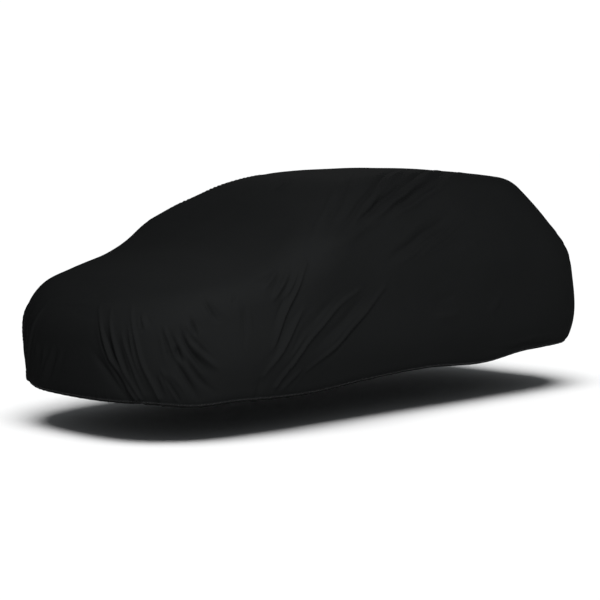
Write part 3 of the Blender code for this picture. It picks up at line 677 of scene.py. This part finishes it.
def stitchRow(name, height, tree, material):
    line = hemRow(height)
    line = toFrame(line + hemFacing(line) * (stitches["thread"] / 2 - stitches["sink"]))
    mesh = bpy.data.meshes.new(name + "_line")
    count = len(line)
    mesh.from_pydata(line.tolist(), [(i, (i + 1) % count) for i in range(count)], [])
    row = bpy.data.objects.new(name + "_line", mesh)
    bpy.context.scene.collection.objects.link(row)
    modifier = row.modifiers.new("stitchRow", "NODES")
    modifier.node_group = tree
    sizes = {"Stitch Length": stitches["length"], "Gap": stitches["gap"], "Thread": stitches["thread"],
             "Jitter": stitches["jitter"], "Sides": stitches["sides"], "Seed": stitches["seed"]}
    for item in tree.interface.items_tree:
        if item.in_out == "INPUT" and item.name in sizes:
            modifier[item.identifier] = sizes[item.name]
    shown = bpy.context.evaluated_depsgraph_get()
    made = bpy.data.meshes.new_from_object(row.evaluated_get(shown), depsgraph=shown)
    bpy.data.objects.remove(row, do_unlink=True)
    bpy.data.meshes.remove(mesh)
    made.name = name
    made.materials.clear()
    made.materials.append(material)
    piece = bpy.data.objects.new(name, made)
    bpy.context.scene.collection.objects.link(piece)
    return piece


# shader maths: a socket that can be used in Python expressions
class Wire:
    def __init__(self, tree, socket):
        self.tree, self.socket = tree, socket

    def node(self, kind, settings=None, **values):
        # a value's key is the name of its socket, or i and the socket's number
        made = self.tree.nodes.new(kind)
        for key, value in (settings or {}).items():
            setattr(made, key, value)
        for key, value in values.items():
            socket = made.inputs[int(key[1:]) if key[1:].isdigit() else key]
            if isinstance(value, Wire):
                self.tree.links.new(value.socket, socket)
            else:
                socket.default_value = value
        return made

    def out(self, kind, output, settings=None, **values):
        return Wire(self.tree, self.node(kind, settings, **values).outputs[output])

    def maths(self, operation, first, second):
        return self.out("ShaderNodeMath", "Value", {"operation": operation}, i0=first, i1=second)

    def __add__(self, other):
        return self.maths("ADD", self, other)

    def __radd__(self, other):
        return self.maths("ADD", other, self)

    def __mul__(self, other):
        return self.maths("MULTIPLY", self, other)

    def __rmul__(self, other):
        return self.maths("MULTIPLY", other, self)

    def sine(self):
        return self.out("ShaderNodeMath", "Value", {"operation": "SINE"}, i0=self)

    def noise(self, scale, detail, roughness):
        return self.out("ShaderNodeTexNoise", "Fac", {"noise_dimensions": "3D"},
                        Vector=self.out("ShaderNodeTexCoord", "Object"),
                        Scale=scale, Detail=detail, Roughness=roughness)

    def blend(self, dark, light):
        # one colour where the socket is 0 and the other where it is 1
        mixed = self.node("ShaderNodeMix", {"data_type": "RGBA"}, i0=self, i6=dark, i7=light)
        return Wire(self.tree, mixed.outputs[2])

    def into(self, shader, name):
        self.tree.links.new(self.socket, shader.inputs[name])


def newMaterial(name):
    material = bpy.data.materials.new(name)
    material.use_nodes = True
    tree = material.node_tree
    return material, Wire(tree, None), tree.nodes["Principled BSDF"]


# the lighter colour stands for faded dye and for painted light on the loop crests; loop shade is the
# share of painted loop shade in the colour
knit = {
    "base": (0.0054, 0.0057, 0.0058, 1.0), "fadedAndLit": (0.0069, 0.0072, 0.0073, 1.0),
    "waleWidth": 0.0021, "courseHeight": 0.0016, "courseBend": 1.6, "waleShare": 0.6,
    "specular": 0.002, "smooth": 0.70, "rough": 0.86,
    "cloudScale": 2.3, "fuzzScale": 95.0, "creaseScale": 16.0,
    "creaseStrength": 0.30, "creaseDepth": 0.004, "loopStrength": 0.22, "loopDepth": 0.0004,
    "dyeCloud": 0.72, "dyeFuzz": 0.22, "loopShade": 0.03, "glossCloud": 0.6, "glossFuzz": 0.4,
}


def knitMaterial():
    # satin knit: wales run up the cloth and courses round it, over slight unevenness in dye and gloss;
    # the loops are painted darker in their hollows and lighter on their crests, as painted shade and
    # light.
    # The low specular keeps a white glow off the roof at a grazing angle.
    material, wire, shader = newMaterial("satin_knit")
    flatPlace = wire.out("ShaderNodeUVMap", "UV", {"uv_map": "cloth"})
    apart = wire.node("ShaderNodeSeparateXYZ", Vector=flatPlace)
    across, up = Wire(wire.tree, apart.outputs["X"]), Wire(wire.tree, apart.outputs["Y"])
    wale = (across * (2 * math.pi / knit["waleWidth"])).sine()
    course = (up * (2 * math.pi / knit["courseHeight"]) + knit["courseBend"] * wale).sine()
    loops = knit["waleShare"] * wale + (1 - knit["waleShare"]) * course
    cloud = wire.noise(knit["cloudScale"], 3.0, 0.55)
    fuzz = wire.noise(knit["fuzzScale"], 2.0, 0.6)
    crease = wire.noise(knit["creaseScale"], 3.0, 0.5)
    # the colour's tone: random dye clouds and fuzz, plus painted shade on the knit loops, darker where
    # the loop bump is low
    dyeAndLoopShade = knit["dyeCloud"] * cloud + knit["dyeFuzz"] * fuzz + knit["loopShade"] * loops
    dyeAndLoopShade.blend(knit["base"], knit["fadedAndLit"]).into(shader, "Base Color")
    gloss = knit["glossCloud"] * cloud + knit["glossFuzz"] * fuzz
    (knit["smooth"] + (knit["rough"] - knit["smooth"]) * gloss).into(shader, "Roughness")
    deep = wire.out("ShaderNodeBump", "Normal", Strength=knit["creaseStrength"],
                    Distance=knit["creaseDepth"], Height=crease)
    fine = wire.out("ShaderNodeBump", "Normal", Strength=knit["loopStrength"],
                    Distance=knit["loopDepth"], Height=loops, Normal=deep)
    fine.into(shader, "Normal")
    shader.inputs["Specular IOR Level"].default_value = knit["specular"]
    return material


yarn = {
    "dark": (0.012, 0.012, 0.013, 1.0), "light": (0.024, 0.025, 0.026, 1.0), "specular": 0.35,
    "smooth": 0.34, "rough": 0.50, "twistScale": 420.0, "twistBend": 0.6,
    "twistStrength": 0.4, "twistDepth": 0.0002,
}


def threadMaterial():
    # glossy black polyester thread, twisted, its colour painted darker in the twist's grooves and
    # lighter on its ridges as painted shade and light
    material, wire, shader = newMaterial("black_thread")
    twist = wire.out("ShaderNodeTexWave", "Fac", {"wave_type": "BANDS", "bands_direction": "DIAGONAL"},
                     Vector=wire.out("ShaderNodeTexCoord", "Object"),
                     Scale=yarn["twistScale"], Distortion=yarn["twistBend"])
    (yarn["smooth"] + (yarn["rough"] - yarn["smooth"]) * twist).into(shader, "Roughness")
    # painted shade: the colour follows the twist's bump, dark in the grooves and light on the ridges
    twist.blend(yarn["dark"], yarn["light"]).into(shader, "Base Color")
    bump = wire.out("ShaderNodeBump", "Normal", Strength=yarn["twistStrength"],
                    Distance=yarn["twistDepth"], Height=twist)
    bump.into(shader, "Normal")
    shader.inputs["Specular IOR Level"].default_value = yarn["specular"]
    return material


paleFloor = {
    "colour": (0.86, 0.86, 0.86, 1.0), "smooth": 0.82, "rough": 0.88, "cloudScale": 0.6,
    "specular": 0.1,
}


def floorMaterial():
    material, wire, shader = newMaterial("pale_floor")
    cloud = wire.noise(paleFloor["cloudScale"], 2.0, 0.5)
    (paleFloor["smooth"] + (paleFloor["rough"] - paleFloor["smooth"]) * cloud).into(shader, "Roughness")
    shader.inputs["Base Color"].default_value = paleFloor["colour"]
    shader.inputs["Specular IOR Level"].default_value = paleFloor["specular"]
    return material


cover.data.materials.append(knitMaterial())
print("stitches: two rows round the hem")
threadFinish = threadMaterial()
rowTree = stitchTree(threadFinish)
rows = [stitchRow("hem_stitches_%d" % (i + 1), height, rowTree, threadFinish)
        for i, height in enumerate(stitches["rows"])]
bpy.data.node_groups.remove(rowTree)

print("studio: floor, lights and camera")
studio = {
    "middle": (0.0, -0.45, -0.60), "floorSize": 400.0, "floorLight": 3.6, "floorSoftness": 44.0,
    "floorAzimuth": 45.0, "floorHeight": 75.0, "floorAway": 13.0,
    "backdrop": 1.05, "ambient": 0.14, "ambientColour": (0.93, 0.97, 1.0, 1.0),
}
# soft boxes that light the cover and its stitches only: azimuth is counted from the nose to the left,
# and level is what a matt white face turned to the light would return
softBoxes = table("azimuth height away size level", [
    (47.0, 22.0, 5.6, 1.8, 1.05), (55.0, 68.0, 13.0, 4.0, 0.58), (120.0, 12.0, 9.0, 3.0, 0.24),
    (225.0, 30.0, 13.0, 4.0, 0.20)])
lampNames = ["key_light", "top_light", "side_light", "back_light"]

bpy.ops.mesh.primitive_plane_add(size=studio["floorSize"], location=(0.0, 0.0, 0.0))
floor = bpy.context.object
floor.name = "studio_floor"
floor.data.transform(Matrix.Translation((0.0, 0.0, -place["groundBelow"])))
floor.data.materials.append(floorMaterial())


def lampTowards(name, light, azimuth, height, away):
    lamp = bpy.data.objects.new(name, light)
    bpy.context.scene.collection.objects.link(lamp)
    a, e = math.radians(azimuth), math.radians(height)
    towards = Vector((math.sin(a) * math.cos(e), -math.cos(a) * math.cos(e), math.sin(e)))
    lamp.location = Vector(studio["middle"]) + towards * away
    lamp.rotation_mode = "QUATERNION"
    lamp.rotation_quaternion = towards.to_track_quat("Z", "Y")
    return lamp


def softBox(name, row):
    light = bpy.data.lights.new(name, "AREA")
    light.shape = "DISK"
    light.size = softBoxes["size"][row]
    light.energy = softBoxes["level"][row] * (math.pi * softBoxes["away"][row]) ** 2
    return lampTowards(name, light, *[softBoxes[key][row] for key in ("azimuth", "height", "away")])


def floorLamp():
    light = bpy.data.lights.new("floor_light", "SUN")
    light.energy = studio["floorLight"]
    light.angle = math.radians(studio["floorSoftness"])
    return lampTowards("floor_light", light, studio["floorAzimuth"], studio["floorHeight"],
                       studio["floorAway"])


def lightsOnly(lamps, name, things):
    group = bpy.data.collections.new(name)
    for thing in things:
        group.objects.link(thing)
    for lamp in lamps:
        lamp.light_linking.receiver_collection = group


def makeWorld():
    # a white backdrop for the camera, and a faint cool light for everything else
    world = bpy.data.worlds.new("studio")
    bpy.context.scene.world = world
    world.use_nodes = True
    air = Wire(world.node_tree, None)
    seen = air.out("ShaderNodeLightPath", "Is Camera Ray")
    backdrop = air.out("ShaderNodeBackground", "Background", Color=(1.0, 1.0, 1.0, 1.0),
                       Strength=studio["backdrop"])
    ambient = air.out("ShaderNodeBackground", "Background", Color=studio["ambientColour"],
                      Strength=studio["ambient"])
    both = air.out("ShaderNodeMixShader", "Shader", i0=seen, i1=ambient, i2=backdrop)
    both.into(world.node_tree.nodes["World Output"], "Surface")


lightsOnly([softBox(name, row) for row, name in enumerate(lampNames)], "lit_cover", [cover, *rows])
lightsOnly([floorLamp()], "lit_floor", [floor])
makeWorld()

# the camera stands front left, away from the place it looks over, and is turned down by its pitch
camera = {
    "azimuth": 44.855, "away": 11.100, "height": 1.668, "pitch": 5.193,
    "aimOut": 0.034, "aimAlong": -0.220, "lens": 105.6, "sensor": 36.0, "clipEnd": 300.0,
}


def makeCamera():
    a, p = math.radians(camera["azimuth"]), math.radians(camera["pitch"])
    ahead = Vector((-math.sin(a) * math.cos(p), math.cos(a) * math.cos(p), -math.sin(p)))
    side = Vector((math.cos(a), math.sin(a), 0.0))
    above = side.cross(ahead)
    lens = bpy.data.cameras.new("front_left_view")
    lens.sensor_width = camera["sensor"]
    lens.lens = camera["lens"]
    lens.clip_end = camera["clipEnd"]
    eye = bpy.data.objects.new("front_left_view", lens)
    bpy.context.scene.collection.objects.link(eye)
    spot = Vector((camera["aimOut"] + camera["away"] * math.sin(a),
                   camera["aimAlong"] - camera["away"] * math.cos(a) - place["roofAlong"],
                   camera["height"] - place["groundBelow"]))
    turned = Matrix((side, above, -ahead)).transposed().to_4x4()
    eye.matrix_world = Matrix.Translation(spot) @ turned
    bpy.context.scene.camera = eye


makeCamera()
bpy.context.scene.view_settings.view_transform = "Standard"
bpy.context.scene.view_settings.look = "None"

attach(cover, "root")
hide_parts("cover")
for row in rows:
    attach(row, "root")
